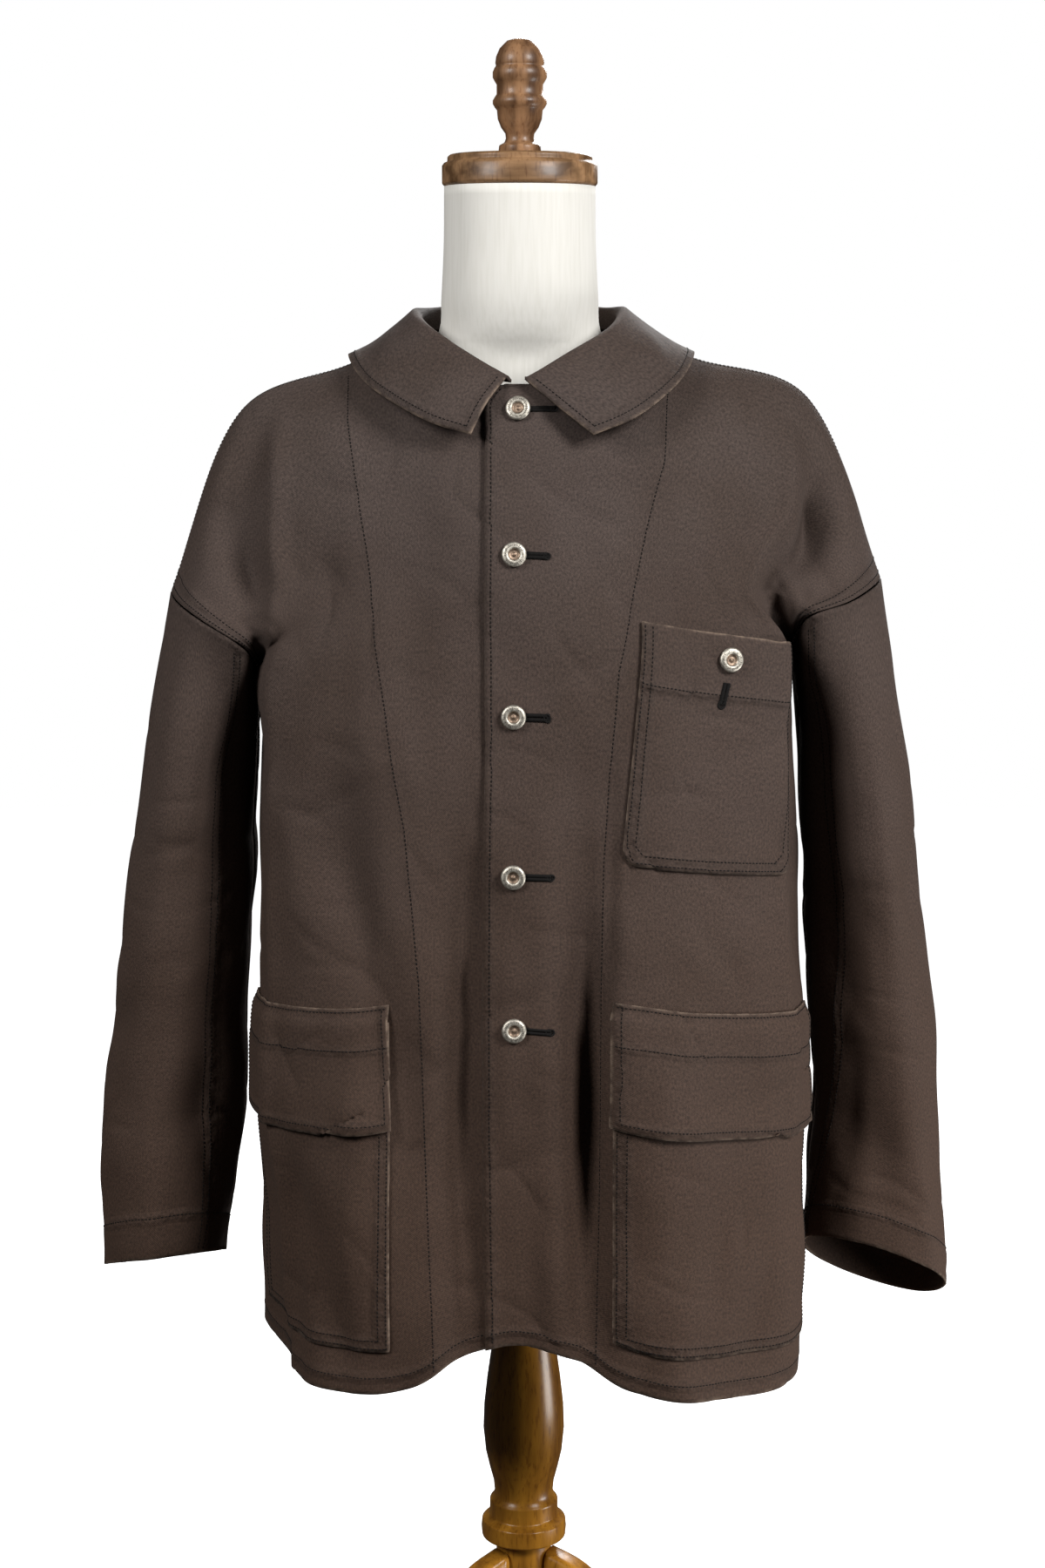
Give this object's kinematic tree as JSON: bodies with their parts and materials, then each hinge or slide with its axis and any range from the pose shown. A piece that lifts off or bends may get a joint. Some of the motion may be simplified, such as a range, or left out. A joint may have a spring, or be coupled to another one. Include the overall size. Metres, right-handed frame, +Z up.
{
  "type": "chore jacket on a dress form",
  "caption": "Buttoned cotton chore jacket with a turned-down collar and patch pockets, worn by a limbless dress form on a turned wooden tripod stand.",
  "frame": {"origin": "on the floor, at the middle of the part's footprint", "axes": "+Z up the pole, the jacket faces -Y, +X towards the wearer's left"},
  "size_m": [0.666, 0.4371, 1.571],
  "materials": {
    "jacket_cloth": "brushed dark brown cotton twill, worn paler at the edges",
    "button_metal": "antiqued cast metal",
    "form_linen": "ivory linen cover",
    "stand_wood": "stained and varnished turned hardwood"
  },
  "bodies": {
    "root": {"front_left": "jacket_cloth", "front_right": "jacket_cloth", "back": "jacket_cloth", "sleeve_left": "jacket_cloth", "sleeve_right": "jacket_cloth", "collar": "jacket_cloth", "chest_pocket": "jacket_cloth", "pocket_left": "jacket_cloth", "pocket_right": "jacket_cloth", "flap_left": "jacket_cloth", "flap_right": "jacket_cloth", "button_1": "button_metal", "button_2": "button_metal", "button_3": "button_metal", "button_4": "button_metal", "button_5": "button_metal", "pocket_button": "button_metal", "torso_form": "form_linen", "neck_cap": "stand_wood", "finial": "stand_wood", "pole": "stand_wood", "hub": "stand_wood", "leg_1": "stand_wood", "leg_2": "stand_wood", "leg_3": "stand_wood"}
  },
  "joints": []
}
